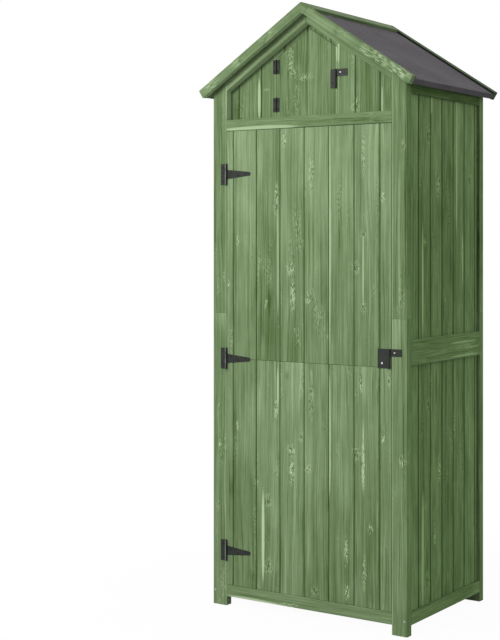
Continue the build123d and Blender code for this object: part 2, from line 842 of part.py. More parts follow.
# Hatch: gable boards cut to the house-shaped outline, on two ledges
with BuildPart() as hatch_boards:
    with BuildSketch(Plane.XY.offset(hatch_bottom)):
        for (start, stop), outline in zip(gable_spans, hatch_plan):
            if stop > hatch_left and start < hatch_right:
                with BuildLine():
                    Polyline(*[(u, y_gable + v) for u, v in outline], close=True)
                make_face()
    extrude(amount=ridge_height - hatch_bottom)
    with BuildSketch(facing(y_gable + board_thickness)):
        with BuildLine():
            Polyline(*hatch_outline(0, hatch_bottom), close=True)
        make_face()
    extrude(amount=board_thickness, mode=Mode.INTERSECT)
    with BuildSketch(facing(y_gable)):
        with Locations(*butt_hatch_screws, hatch_hasp_screw):
            Circle(shank_radius + hole_play)
    extrude(amount=-pilot_depth - hole_play, mode=Mode.SUBTRACT)
hatch_boards.part.label = "hatch_boards"
export_step(hatch_boards.part, "parts/hatch_boards.step")

with BuildPart() as hatch_ledges:
    with BuildSketch(facing(y_gable + board_thickness + hatch_ledge_thickness)):
        with Locations(*[((hatch_left + hatch_right) / 2, z) for z in butt_heights]):
            Rectangle(hatch_right - hatch_left - 2 * hatch_ledge_inset, hatch_ledge_height)
    extrude(amount=hatch_ledge_thickness)
hatch_ledges.part.label = "hatch_ledges"
export_step(hatch_ledges.part, "parts/hatch_ledges.step")

# Hasps: a leaf with a knuckle on the door or hatch, a strap that folds over a stud, and a pin
hasps = (
    ("door_hasp", door_hasp_x, door_hasp_width, door_hasp_z, y_front, door_stud, door_hasp_screw),
    ("hatch_hasp", hatch_hasp_x, hatch_hasp_width, hatch_hasp_z, y_gable, hatch_stud, hatch_hasp_screw),
)
for hasp_name, x_axis, width, low, y_face, stud, screw in hasps:
    y_axis = y_face - hasp_radius
    left = x_axis - width
    right = x_axis + hasp_reach
    high = low + hasp_height
    strap_low = high - hasp_strap_height
    leaf_high = strap_low - knuckle_play

    with BuildPart() as hasp_leaf:
        with BuildSketch(facing(y_face)):
            with Locations(((left + x_axis) / 2, (low + high) / 2)):
                Rectangle(x_axis - left, high - low)
        extrude(amount=hasp_thickness)
        with Locations((x_axis, y_axis, (leaf_high + high) / 2)):
            Box(
                2 * (hasp_radius + knuckle_play),
                4 * hasp_radius,
                high - leaf_high,
                mode=Mode.SUBTRACT,
            )
        with BuildSketch(Plane.XY.offset(low)):
            with Locations((x_axis, y_axis)):
                Circle(hasp_radius)
        extrude(amount=leaf_high - low)
        with Locations((x_axis, y_axis, (low + high) / 2)):
            Cylinder(hasp_pin + pin_fit, 2 * (high - low), mode=Mode.SUBTRACT)
        with BuildSketch(facing(y_face)):
            with Locations(screw):
                Circle(shank_radius + hole_play)
        extrude(amount=hasp_thickness, mode=Mode.SUBTRACT)
    hasp_leaf.part.label = f"{hasp_name}_leaf"
    export_step(hasp_leaf.part, f"parts/{hasp_name}_leaf.step")

    with BuildPart() as hasp_strap:
        with BuildSketch(facing(y_face)):
            with Locations(((x_axis + right) / 2, (strap_low + high) / 2)):
                Rectangle(right - x_axis, high - strap_low)
        extrude(amount=hasp_thickness)
        fillet(hasp_strap.edges().filter_by(Axis.Y).group_by(Axis.X)[-1], radius=wood_round)
        with BuildSketch(Plane.XY.offset(strap_low)):
            with Locations((x_axis, y_axis)):
                Circle(hasp_radius)
        extrude(amount=high - strap_low)
        with Locations((x_axis, y_axis, (low + high) / 2)):
            Cylinder(hasp_pin + pin_fit, 2 * (high - low), mode=Mode.SUBTRACT)
        with BuildSketch(facing(y_face)):
            with Locations(stud):
                Circle(hasp_hole)
        extrude(amount=hasp_thickness, mode=Mode.SUBTRACT)
    hasp_strap.part.label = f"{hasp_name}_strap"
    export_step(hasp_strap.part, f"parts/{hasp_name}_strap.step")

    with BuildPart() as hasp_axle:
        with Locations((x_axis, y_axis, (low + high) / 2)):
            Cylinder(hasp_pin, high - low + pin_stickout)
    hasp_axle.part.label = f"{hasp_name}_pin"
    export_step(hasp_axle.part, f"parts/{hasp_name}_pin.step")

# Studs that the hasp straps drop over, each with a cross hole for a clip or lock
with BuildPart() as catch_studs:
    for y_face, (x, z) in ((y_front, door_stud), (y_gable, hatch_stud)):
        with BuildSketch(facing(y_face)):
            with Locations((x, z)):
                Circle(stud_radius)
        extrude(amount=stud_length)
        chamfer(catch_studs.edges(Select.LAST).group_by(Axis.Y)[0], length=stud_radius / 4)
        with BuildSketch(facing(y_face)):
            with Locations((x, z)):
                Circle(stud_radius)
        extrude(amount=-pilot_depth)
        with Locations((x, y_face - stud_length + 2 * stud_radius, z)):
            Cylinder(stud_eye, 4 * stud_radius, mode=Mode.SUBTRACT)
catch_studs.part.label = "catch_studs"
export_step(catch_studs.part, "parts/catch_studs.step")

# Screws, grouped by the body that carries them
post_screws = [(-post_screw_x, post_screw_z), (post_screw_x, post_screw_z)]
screw_groups = (
    (
        "frame_screws",
        (
            (y_front, leaf_thickness, leaf_screws),
            (y_gable, butt_thickness, butt_frame_screws),
        ),
    ),
    ("post_screws", ((y_front, 0, post_screws),)),
    ("door_screws", ((y_front, leaf_thickness, strap_screws),)),
    ("hasp_screw", ((y_front, hasp_thickness, [door_hasp_screw]),)),
    (
        "hatch_screws",
        (
            (y_gable, butt_thickness, butt_hatch_screws),
            (y_gable, hasp_thickness, [hatch_hasp_screw]),
        ),
    ),
)
for group_name, rows in screw_groups:
    with BuildPart() as screws:
        for y_wood, plate, places in rows:
            with BuildSketch(facing(y_wood - plate)):
                with Locations(*places):
                    Circle(head_radius)
            extrude(amount=head_height)
            chamfer(screws.edges(Select.LAST).group_by(Axis.Y)[0], length=head_height / 3)
            with BuildSketch(facing(y_wood - plate)):
                with Locations(*places):
                    Circle(shank_radius)
            extrude(amount=-plate - pilot_depth)
    screws.part.label = group_name
    export_step(screws.part, f"parts/{group_name}.step")
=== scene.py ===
"""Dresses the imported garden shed: green stained boards, black ironwork, felt and a white studio stage."""

import random
from math import cos, pi, radians, sin

import bmesh
import bpy
from bpy.props import FloatProperty, FloatVectorProperty, PointerProperty
from mathutils import Matrix, Vector


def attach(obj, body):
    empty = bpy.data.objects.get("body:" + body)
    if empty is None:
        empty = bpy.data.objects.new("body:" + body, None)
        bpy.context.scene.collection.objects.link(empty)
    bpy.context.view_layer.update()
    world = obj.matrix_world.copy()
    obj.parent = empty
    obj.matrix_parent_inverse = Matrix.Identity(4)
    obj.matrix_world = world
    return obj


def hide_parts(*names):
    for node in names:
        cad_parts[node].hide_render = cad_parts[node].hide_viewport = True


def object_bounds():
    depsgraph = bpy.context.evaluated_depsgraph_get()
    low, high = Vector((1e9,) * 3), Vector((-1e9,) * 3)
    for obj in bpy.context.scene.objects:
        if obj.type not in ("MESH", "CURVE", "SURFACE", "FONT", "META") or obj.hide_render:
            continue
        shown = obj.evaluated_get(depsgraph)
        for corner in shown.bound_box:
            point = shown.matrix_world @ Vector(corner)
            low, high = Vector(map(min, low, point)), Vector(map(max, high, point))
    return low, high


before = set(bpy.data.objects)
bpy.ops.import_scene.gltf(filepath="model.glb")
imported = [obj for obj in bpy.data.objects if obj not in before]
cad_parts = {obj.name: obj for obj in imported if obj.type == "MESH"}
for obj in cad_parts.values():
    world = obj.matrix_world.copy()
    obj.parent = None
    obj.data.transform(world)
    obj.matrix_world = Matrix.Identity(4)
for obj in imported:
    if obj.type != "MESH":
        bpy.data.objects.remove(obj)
cad_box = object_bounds()

bl_info = {
    "name": "Garden shed finishes",
    "version": (1, 0, 0),
    "blender": (4, 5, 0),
    "location": "View3D > Sidebar > Shed",
    "description": "Stained boards, ironwork, felt and studio stage for a packed garden shed",
    "category": "Object",
}

# Joints of the boards, in metres: axis across the boards, first joint, pitch
DOOR_BOARDS = ("X", -0.2645, 0.08595)
GABLE_BOARDS = ("X", -0.2606, 0.0830)
BACK_BOARDS = ("X", -0.2550, 0.0850)
SIDE_BOARDS = ("Y", -0.1567, 0.0703)
FLOOR_BOARDS = ("Y", -0.1286, 0.0844)

# Pins of the door's hinges across the front, in metres, and the slope of the roof
DOOR_PIN = -0.2894
ROOF_PITCH = radians(32.4)

# One millimetre in metres, and the width of the camera's sensor in millimetres
MM = 0.001
SENSOR_WIDTH = 36.0

# Depth of the stain, from the grooves at 0 over deep, plain and thin stain to bare wood at 1
GROOVE_SHADE = 0.02
CHIP_SHADE = 0.15
KNOT_SHADE = 0.20
PLAIN_SHADE = 0.5
BARE_SHADE = 1.0

# Painted light on the undersides of the roof timber, lifting their shade: how much lighter they are, on the
# same scale
UNDERSIDE_LIGHT = 0.45

# Half width of the painted highlight along a hinge knuckle, in metres: bright within the first, gone past
# the second
GLINT_CORE = 0.0008
GLINT_REACH = 0.0022

# Edges that are rounded: longer than this many roundings, and sharper than this angle
LONG_EDGE = 5
SHARP_EDGE = radians(40)

# Floor near the shed: share of plain white there, and the distances in metres between which it fades
NEAR_WHITE = 0.965
NEAR_START = 0.4
NEAR_STOP = 1.4


def lit_gap_edges(height, reach, strength, *places):
    """Painted light: pale lines along upright edges beside gaps, lifting the shade in the gaps, with the
    height of their middle and their half length.
    """
    return tuple((place, height, 3.2, reach, strength) for place in places)


def dark_joints(height):
    """Stain that has run along the two outer joints of the door."""
    return (-257.5, height, 8, 500, 0.9), (247.5, height, 4.5, 600, 1.0)


# Marks in the wood, in millimetres: place across, height, half width, half length; last their strength
# Flecks are chips of pale wood, lines are bare streaks, washes are thin stain, darks are deep stain, and
# knots are dark spots with flecks round them. Lines along the gaps and on the left post's inner face are
# painted light that lifts shade, and the long darks at the right post's front corner are painted shade
HATCH_MARKS = {
    "fleck": (
        (-66, 1700, 22, 22, 0.9), (-71, 1642, 17, 66, 0.8), (-22, 1588, 42, 16, 0.7),
        (84, 1693, 9, 24, 0.9), (-62, 1600, 18, 22, 0.7),
    ),
    "line": ((92, 1668, 4.5, 56, 0.9), *lit_gap_edges(1600, 260, 0.15, -121), *lit_gap_edges(1600, 260, 0.4, 92)),
    "wash": ((-100, 1560, 14, 70, 0.5),),
    "dark": ((-80, 1600, 9, 30, 0.7),),
}
GABLE_MARKS = {
    "line": (
        (-186, 1532, 6, 70, 0.9), (244, 1500, 4, 50, 0.6), (97, 1668, 4.5, 56, 0.9),
        *lit_gap_edges(1600, 260, 0.15, -124), *lit_gap_edges(1600, 260, 0.4, 96),
    ),
    "wash": ((-160, 1558, 20, 6, 1.0),),
    "dark": ((-262, 1500, 24, 60, 0.5), (262, 1500, 14, 50, 0.6)),
    "knot": ((157, 1494, 10, 13, 1.0),),
}
UPPER_DOOR_MARKS = {
    "fleck": (
        (-78, 1405, 12, 36, 1.0), (-105, 1235, 10, 60, 0.9), (18, 1300, 14, 80, 0.7),
        (-46, 945, 13, 70, 1.0), (8, 938, 18, 26, 0.9), (-53, 1020, 20, 30, 0.9),
        (197, 1350, 9, 96, 0.8), (-284, 975, 10, 22, 0.8), (-40, 842, 8, 12, 0.7),
        (-143, 918, 8, 20, 0.9), (262, 1228, 11, 22, 1.0), (-248, 1107, 8, 30, 1.0),
    ),
    "line": (
        (82.9, 1110, 3.5, 420, 1.0), (196, 1020, 3.4, 130, 0.7), (-100, 1050, 4, 200, 0.6),
        *lit_gap_edges(1090, 900, 0.4, -287, 287),
    ),
    "wash": ((-155, 785, 10, 55, 1.0), (-170, 1330, 12, 110, 0.5)),
    "dark": (
        (-130, 930, 14, 60, 0.7), (-178, 950, 12, 60, 0.5), (-100, 880, 6, 100, 0.7),
        *dark_joints(1100),
    ),
    "knot": (
        (-54, 1030, 9, 11, 1.0), (-14, 1096, 6, 10, 1.0), (171, 1030, 9, 12, 1.0),
        (198, 914, 7, 11, 0.9), (197, 1125, 6, 8, 0.8), (-106, 1205, 7, 14, 0.8),
    ),
}
LOWER_DOOR_MARKS = {
    "fleck": (
        (-106, 606, 10, 40, 1.0), (-50, 430, 14, 56, 1.0), (8, 441, 18, 20, 0.9),
        (-52, 488, 20, 24, 0.9), (142, 98, 13, 34, 1.0), (220, 290, 14, 20, 0.9),
        (19, 640, 14, 90, 0.6), (-178, 385, 8, 44, 0.8), (196, 470, 8, 100, 0.9),
        (282, 720, 9, 34, 0.9), (200, 160, 10, 70, 0.7), (262, 546, 11, 22, 1.0),
        (-248, 551, 8, 26, 1.0), (189, 700, 9, 40, 1.0), (139, 215, 9, 60, 1.0),
    ),
    "line": (
        (82.9, 545, 3.5, 210, 1.0), (-154, 224, 6, 158, 1.0), (-100, 670, 4, 70, 0.8),
        (196, 490, 3.2, 120, 0.8), *lit_gap_edges(400, 900, 0.4, -287, 287),
    ),
    "wash": ((18, 716, 8, 26, 0.9), (-170, 640, 14, 90, 0.5)),
    "dark": (
        (-272, 360, 14, 50, 0.8), (-196, 105, 18, 30, 0.8), (-68, 706, 10, 20, 0.7),
        (-130, 250, 16, 80, 0.5), (170, 180, 14, 80, 0.5), *dark_joints(400),
    ),
    "knot": (
        (-53, 492, 9, 10, 1.0), (-18, 533, 6, 10, 1.0), (172, 499, 9, 12, 1.0),
        (-136, 334, 8, 13, 1.0), (-134, 138, 9, 14, 1.0), (32, 88, 8, 9, 0.8),
    ),
}
RIGHT_SIDE_MARKS = {
    "fleck": (
        (-93, 1410, 14, 44, 1.0), (-39, 1262, 18, 54, 1.0), (165, 1296, 10, 16, 1.0),
        (-87, 700, 12, 44, 1.0), (-88, 632, 10, 22, 1.0), (-33, 440, 14, 66, 1.0),
        (-60, 250, 10, 50, 1.0), (60, 560, 10, 60, 1.0), (-119, 1102, 13, 16, 1.0),
        (-119, 345, 13, 16, 1.0), (110, 1080, 8, 50, 1.0),
    ),
    "line": (
        (76, 1340, 5.4, 250, 1.0), (-132, 987, 6, 185, 1.0), (-131, 223, 6, 190, 1.0),
        (-80, 1500, 7, 34, 1.0), (115, 1050, 4.5, 90, 1.0),
    ),
    "dark": (
        (50, 1010, 30, 90, 0.7), (-20, 1180, 30, 60, 0.5), (-100, 180, 12, 40, 0.6),
        (-128, 400, 14, 30, 0.7), (130, 420, 30, 120, 0.5),
    ),
    "knot": (
        (-95, 1408, 12, 16, 1.0), (-95, 630, 12, 16, 1.0), (-104, 128, 10, 20, 0.7),
        (-44, 1290, 10, 13, 0.8), (162, 1287, 10, 13, 0.8),
    ),
}
UPPER_POST_MARKS = {
    "fleck": ((328, 1372, 11, 24, 0.6), (-300, 1000, 8, 30, 0.5)),
    "line": (
        # The line at -289 is painted light on the left post's inner face beside the gable, lifting its
        # shade
        (314, 1120, 4, 260, 0.4), (-289, 1535, 5, 80, 1.0), *lit_gap_edges(1200, 900, 0.4, -291, 291),
    ),
    # The dark at 336 is painted shade on the right post's rounded front corner
    "dark": ((-334, 1200, 6, 240, 0.6), (336, 1200, 10, 520, 1.0)),
}
LOWER_POST_MARKS = {
    "fleck": (
        (322, 486, 13, 28, 0.9), (-316, 606, 7, 12, 0.9), (-312, 485, 13, 24, 0.9),
        (-322, 300, 8, 22, 0.6),
    ),
    "line": lit_gap_edges(400, 900, 0.4, -291, 291),
    "wash": ((304, 880, 34, 130, 0.8), (-306, 880, 34, 120, 0.8)),
    # Painted shade on the right post's rounded front corner
    "dark": ((329, 430, 8, 440, 0.7),),
}
FRONT_RAIL_MARKS = {
    "fleck": ((-60, 34, 50, 8, 0.8),),
    "line": ((-165, 1441.5, 160, 8, 0.75), (-190, 26.5, 130, 10, 0.9)),
    "dark": ((140, 1452, 160, 12, 0.5),),
}
SIDE_RAIL_MARKS = {
    "fleck": ((110, 790, 90, 22, 0.8), (150, 765, 60, 10, 0.6)),
    "line": ((110, 803, 100, 3.2, 0.9), (110, 763, 100, 3.2, 0.8), (160, 784, 50, 3, 0.6)),
}
FRONT_BARGE_MARKS = {
    "fleck": (
        (260, 1630, 100, 70, 0.8), (335, 1585, 60, 50, 0.9), (-330, 1580, 50, 40, 0.6),
        (40, 1775, 20, 16, 0.6), (-120, 1710, 60, 30, 0.5), (-230, 1645, 40, 30, 0.6),
    ),
    "wash": ((-250, 1640, 40, 24, 0.5), (180, 1690, 50, 30, 0.5)),
    "dark": (
        (-130, 1700, 14, 30, 0.7), (120, 1700, 12, 22, 0.8), (-40, 1770, 20, 20, 0.4),
        (215, 1655, 10, 20, 0.7), (-220, 1640, 12, 20, 0.6),
    ),
    "knot": ((150, 1705, 10, 10, 0.8), (245, 1645, 8, 8, 0.8)),
}


def paint(red, green, blue):
    """Linear colour from sRGB values of 0 to 255."""
    shares = (value / 255 for value in (red, green, blue))
    return tuple(v / 12.92 if v <= 0.04045 else ((v + 0.055) / 1.055) ** 2.4 for v in shares)


def colour_property(label, words, default):
    """Colour that a user can change."""
    return FloatVectorProperty(
        name=label, description=words, subtype="COLOR", size=3, min=0, max=1, default=default
    )


def length_property(label, words, default):
    """Length that a user can change."""
    return FloatProperty(
        name=label, description=words, default=default, min=0.0001, precision=4, unit="LENGTH"
    )


class ShedWood(bpy.types.PropertyGroup):
    """Colours and grain of the stained boards."""

    groove: colour_property("Grooves", "Stain that has run into the joints", paint(42, 62, 24))
    deep: colour_property("Deep stain", "Stain that has sunk into soft grain", paint(77, 101, 53))
    stain: colour_property("Stain", "Green stain on plain wood", paint(119, 142, 100))
    pale: colour_property("Thin stain", "Stain over hard grain", paint(154, 177, 135))
    bare: colour_property("Bare flecks", "Wood that took hardly any stain", paint(192, 214, 172))
    # Painted shade colour: faces turned to the right, on the right half, are tinted deeper green for the
    # shade on that side
    shaded_side_tint: FloatVectorProperty(
        name="Side tint", description="Share of each channel on the faces turned to the right", size=3,
        min=0, max=2, default=(0.97, 1.12, 0.82),
    )
    grain_width: length_property("Grain width", "Width of the fine grain lines", 0.0024)
    streak_width: length_property("Streak width", "Width of the streaks", 0.0075)
    band_width: length_property("Band width", "Width of the broad bands", 0.032)
    chip_width: length_property("Chip width", "Width of the pale chips", 0.0024)
    grain_depth: length_property("Grain depth", "Height of the raised grain", 0.0004)
    rounding: length_property("Edge rounding", "Rounding of the timber's edges", 0.0010)


class ShedIron(bpy.types.PropertyGroup):
    """Paint and plating of the ironwork."""

    black: colour_property("Black paint", "Satin paint on hinges and hasps", paint(21, 25, 20))
    dusty: colour_property("Dusty paint", "Paint where dust lies on it", paint(36, 41, 33))
    # Painted highlight: the pale grey line on the hinge knuckles stands in for the light they catch
    knuckle_glint: colour_property("Worn paint", "Knuckles rubbed by the turning hinge", paint(124, 124, 122))
    zinc: colour_property("Zinc", "Bright plating of the studs", paint(240, 241, 240))
    dull_share: FloatProperty(
        name="Dull plating", description="Brightness of the post screws as a share of the studs'",
        default=0.6, min=0, max=1,
    )
    head_radius: length_property("Screw head radius", "Radius of a screw head", 0.0030)
    head_height: length_property("Screw head height", "Height of a screw head", 0.0014)


class ShedFelt(bpy.types.PropertyGroup):
    """Mineral felt of the roof."""

    slate: colour_property("Slate grit", "Main colour of the grit", paint(106, 103, 106))
    dark: colour_property("Bitumen", "Felt between the grit", paint(64, 63, 66))
    edge: colour_property("Cut edge", "Bitumen at the turned-up edges", paint(26, 28, 26))
    light: colour_property("Pale grit", "Lightest grains", paint(150, 147, 149))
    grit_size: length_property("Grit size", "Size of a grain", 0.0022)


class ShedStage(bpy.types.PropertyGroup):
    """Studio round the shed."""

    floor: colour_property("Floor", "Plain pale floor", (0.93, 0.93, 0.93))
    floor_radius: length_property("Floor radius", "How far the floor reaches", 40.0)
    key_power: FloatProperty(
        name="Key light", description="Power of the soft light", default=188, min=0, unit="POWER"
    )
    key_size: length_property("Key size", "Width of the soft light", 2.2)
    key_place: FloatVectorProperty(
        name="Key place", description="Where the soft light stands", subtype="XYZ", unit="LENGTH", size=3,
        default=(-1.4, -5.0, 3.0),
    )
    sky: FloatProperty(name="Sky", description="Strength of the light from all round", default=0.53, min=0)
    floor_bounce: FloatProperty(
        name="Floor bounce", description="Share of light that the floor sends back", min=0, max=1,
        default=0.30,
    )
    camera_place: FloatVectorProperty(
        name="Camera", description="Where the camera stands", subtype="XYZ", unit="LENGTH", size=3,
        default=(2.2253, -3.5373, 1.1107),
    )
    camera_turn: FloatProperty(
        name="Heading", description="Turn of the camera about the vertical", unit="ROTATION",
        default=radians(32.22),
    )
    lens: FloatProperty(name="Lens", description="Focal length in millimetres", default=76.69, min=10)
    shift: FloatVectorProperty(
        name="Shift", description="Lens shift of the level camera", size=2, default=(-0.1532, -0.1267)
    )


class Recipe:
    """Shader of a material or world: adds nodes and wires them."""

    def __init__(self, owner):
        owner.use_nodes = True
        self.owner = owner
        self.tree = owner.node_tree
        self.tree.nodes.clear()

    def node(self, kind, **settings):
        made = self.tree.nodes.new(kind)
        for key, value in settings.items():
            setattr(made, key, value)
        return made

    def feed(self, socket, value):
        """Wires a socket to another, or sets its number or colour."""
        if isinstance(value, bpy.types.NodeSocket):
            self.tree.links.new(value, socket)
        elif socket.type == "RGBA":
            socket.default_value = (*value[:3], 1.0)
        else:
            socket.default_value = value

    def coordinates(self, kind):
        """Texture coordinates of a kind, split into x, y and z."""
        split = self.node("ShaderNodeSeparateXYZ")
        self.feed(split.inputs[0], self.node("ShaderNodeTexCoord").outputs[kind])
        return tuple(split.outputs)

    def math(self, operation, first, second=0.0, third=0.0):
        made = self.node("ShaderNodeMath", operation=operation)
        for socket, value in zip(made.inputs, (first, second, third)):
            self.feed(socket, value)
        return made.outputs[0]

    def add(self, *values):
        total = values[0]
        for value in values[1:]:
            total = self.math("ADD", total, value)
        return total

    def times(self, first, second):
        return self.math("MULTIPLY", first, second)

    def swing(self, value, amount):
        """A value from 0 to 1, turned into a swing about nought."""
        return self.math("MULTIPLY_ADD", value, amount, -amount / 2)

    def vector(self, x, y, z):
        made = self.node("ShaderNodeCombineXYZ")
        for socket, value in zip(made.inputs, (x, y, z)):
            self.feed(socket, value)
        return made.outputs[0]

    def scaled(self, place, *scales):
        """A place multiplied by one scale for all axes, or by one for each."""
        each = scales if len(scales) == 3 else scales * 3
        return self.vector(*(self.times(axis, scale) for axis, scale in zip(place, each)))

    def reach(self, spot, across, up, wide, tall):
        """Distance from a mark given in millimetres, 1 at its half width and half length."""
        moved = self.node("ShaderNodeVectorMath", operation="MULTIPLY_ADD")
        self.feed(moved.inputs[0], spot)
        self.feed(moved.inputs[1], (1 / (MM * wide), 1 / (MM * tall), 0))
        self.feed(moved.inputs[2], (-across / wide, -up / tall, 0))
        length = self.node("ShaderNodeVectorMath", operation="LENGTH")
        self.feed(length.inputs[0], moved.outputs[0])
        return length.outputs["Value"]

    def noise(self, vector, detail=3.0, roughness=0.55):
        made = self.node("ShaderNodeTexNoise")
        self.feed(made.inputs["Vector"], vector)
        self.feed(made.inputs["Scale"], 1.0)
        self.feed(made.inputs["Detail"], detail)
        self.feed(made.inputs["Roughness"], roughness)
        return made.outputs[0]

    def chance(self, number):
        """Random number from 0 to 1 for a whole number."""
        made = self.node("ShaderNodeTexWhiteNoise", noise_dimensions="1D")
        self.feed(made.inputs["W"], number)
        return made.outputs["Value"]

    def ease(self, value, low, high, start=0.0, stop=1.0):
        """Smooth step of a value from low to high."""
        made = self.node("ShaderNodeMapRange", interpolation_type="SMOOTHSTEP")
        for socket, number in zip(made.inputs, (value, low, high, start, stop)):
            self.feed(socket, number)
        return made.outputs[0]

    def toward(self, value, goal, share):
        """A value moved part of the way to a goal."""
        made = self.node("ShaderNodeMix", data_type="FLOAT")
        for index, number in ((0, share), (2, value), (3, goal)):
            self.feed(made.inputs[index], number)
        return made.outputs[0]

    def mixed(self, colour, other, share, blend="MIX"):
        """A colour mixed with another by a share."""
        made = self.node("ShaderNodeMix", data_type="RGBA", blend_type=blend, clamp_result=False)
        for index, value in ((0, share), (6, colour), (7, other)):
            self.feed(made.inputs[index], value)
        return made.outputs[2]

    def ramp(self, value, *stops):
        made = self.node("ShaderNodeValToRGB")
        self.feed(made.inputs[0], value)
        band = made.color_ramp
        while len(band.elements) < len(stops):
            band.elements.new(0.5)
        for element, (at, colour) in zip(band.elements, stops):
            element.position = at
            element.color = (*colour, 1.0)
        return made.outputs[0]

    def diffuse(self, colour):
        made = self.node("ShaderNodeBsdfDiffuse")
        self.feed(made.inputs["Color"], colour)
        return made.outputs[0]

    def blended(self, share, first, second):
        """Two surfaces mixed by a share."""
        made = self.node("ShaderNodeMixShader")
        for socket, value in zip(made.inputs, (share, first, second)):
            self.feed(socket, value)
        return made.outputs[0]

    def finish(self, colour, roughness, height, depth, strength, **constants):
        """Principled surface with a bump; constants go straight onto its sockets."""
        surface = self.node("ShaderNodeBsdfPrincipled")
        self.feed(surface.inputs["Base Color"], colour)
        self.feed(surface.inputs["Roughness"], roughness)
        for key, value in constants.items():
            self.feed(surface.inputs[key.replace("_", " ")], value)
        bump = self.node("ShaderNodeBump")
        self.feed(bump.inputs["Height"], height)
        self.feed(bump.inputs["Distance"], depth)
        self.feed(bump.inputs["Strength"], strength)
        self.feed(surface.inputs["Normal"], bump.outputs[0])
        self.feed(self.node("ShaderNodeOutputMaterial").inputs[0], surface.outputs[0])
        return self.owner


def scattered_marks(seed, count, width, low, high):
    """Marks strewn over a plain wall, within a half width and between two heights in millimetres."""
    draw = random.Random(seed)
    marks = {}
    for kind, share, wide, tall in (("fleck", 0.4, 11, 35), ("line", 0.3, 4, 60), ("knot", 0.3, 7, 11)):
        marks[kind] = [
            (
                draw.uniform(-width, width), draw.uniform(low, high), wide * draw.uniform(0.8, 1.3),
                tall * draw.uniform(0.7, 1.6), draw.uniform(0.6, 1.0),
            )
            for _ in range(round(share * count))
        ]
    return marks


class Grain:
    """Noise drawn out along the grain of a piece. The grain sways, and differs from board to board."""

    def __init__(self, recipe, grain, place, number):
        self.recipe = r = recipe
        across, side, self.along = self.places(grain, *place)
        self.side = r.add(side, r.times(r.chance(r.add(number, 0.61)), 9.0))
        sway = r.noise(r.vector(r.times(across, 9.0), self.side, r.times(self.along, 2.6)), 2.0)
        self.bent = r.add(across, r.swing(sway, 0.03))

    def places(self, grain, x, y, z):
        """Places across (two) and along the grain."""
        if grain == "X":
            return y, z, x
        if grain == "Y":
            return x, z, y
        if grain == "SLOPE":
            r = self.recipe
            run = r.math("ABSOLUTE", x)
            across = r.add(r.times(run, sin(ROOF_PITCH)), r.times(z, cos(ROOF_PITCH)))
            along = r.add(r.times(run, cos(ROOF_PITCH)), r.times(z, -sin(ROOF_PITCH)))
            return across, r.add(y, r.ease(x, -MM, MM, 0.0, 3.0)), along
        return x, y, z

    def drawn_out(self, width, stretch, detail, roughness=0.6):
        """Noise of a width, that many times as long along the grain."""
        spread = self.recipe.scaled(
            (self.bent, self.side, self.along), 1 / width, 1 / width, 1 / (width * stretch)
        )
        return self.recipe.noise(spread, detail, roughness)


def mark_masks(r, timber, fine, marks, place, height):
    """How far each kind of mark covers a spot, from 0 to 1."""
    wobble = r.swing(timber.drawn_out(0.008, 2.5, 2.0), 0.008)
    spot = r.vector(r.add(place, wobble), r.math("MULTIPLY_ADD", wobble, 1.6, height), 0.0)
    straight = r.vector(r.math("MULTIPLY_ADD", wobble, 0.15, place), height, 0.0)
    masks = {"knot": 0.0}
    kinds = (("fleck", spot, 0.3), ("line", straight, 0.7), ("wash", spot, 0.0), ("dark", spot, 0.0))
    for kind, centre, inner in kinds:
        masks[kind] = 0.0
        for *mark, strength in marks.get(kind, ()):
            mask = r.ease(r.reach(centre, *mark), 1.0, inner, 0.0, strength)
            masks[kind] = r.math("MAXIMUM", masks[kind], mask)
    stray = r.ease(timber.drawn_out(0.05, 4.0, 2.0), 0.56, 0.72, 0.0, 0.4)
    masks["fleck"] = r.math("MAXIMUM", masks["fleck"], stray)
    for *mark, strength in marks.get("knot", ()):
        far = r.add(r.reach(spot, *mark), r.swing(fine, 1.2))
        masks["knot"] = r.math("MAXIMUM", masks["knot"], r.ease(far, 1.1, 0.5, 0.0, strength))
        masks["fleck"] = r.math("MAXIMUM", masks["fleck"], r.ease(far, 2.3, 1.0, 0.0, 0.6 * strength))
    return masks


def marked(r, shade, masks, streak, chips):
    """Depth of the stain with the marks in it. Streaks break up the long ones, and flecks come as chips."""
    shade = r.add(shade, r.times(masks["dark"], r.ease(streak, 0.3, 0.7, -0.26, -0.12)))
    shade = r.add(shade, r.times(masks["wash"], r.ease(streak, 0.3, 0.7, 0.12, 0.30)))
    shade = r.toward(shade, BARE_SHADE, r.times(masks["line"], r.ease(streak, 0.2, 0.6, 0.7, 0.95)))
    shade = r.toward(shade, KNOT_SHADE, r.times(masks["knot"], 0.7))
    shade = r.toward(shade, CHIP_SHADE, r.times(masks["fleck"], r.ease(chips, 0.47, 0.38, 0.0, 0.6)))
    return r.toward(shade, BARE_SHADE, r.times(masks["fleck"], r.ease(chips, 0.49, 0.55, 0.0, 0.9)))


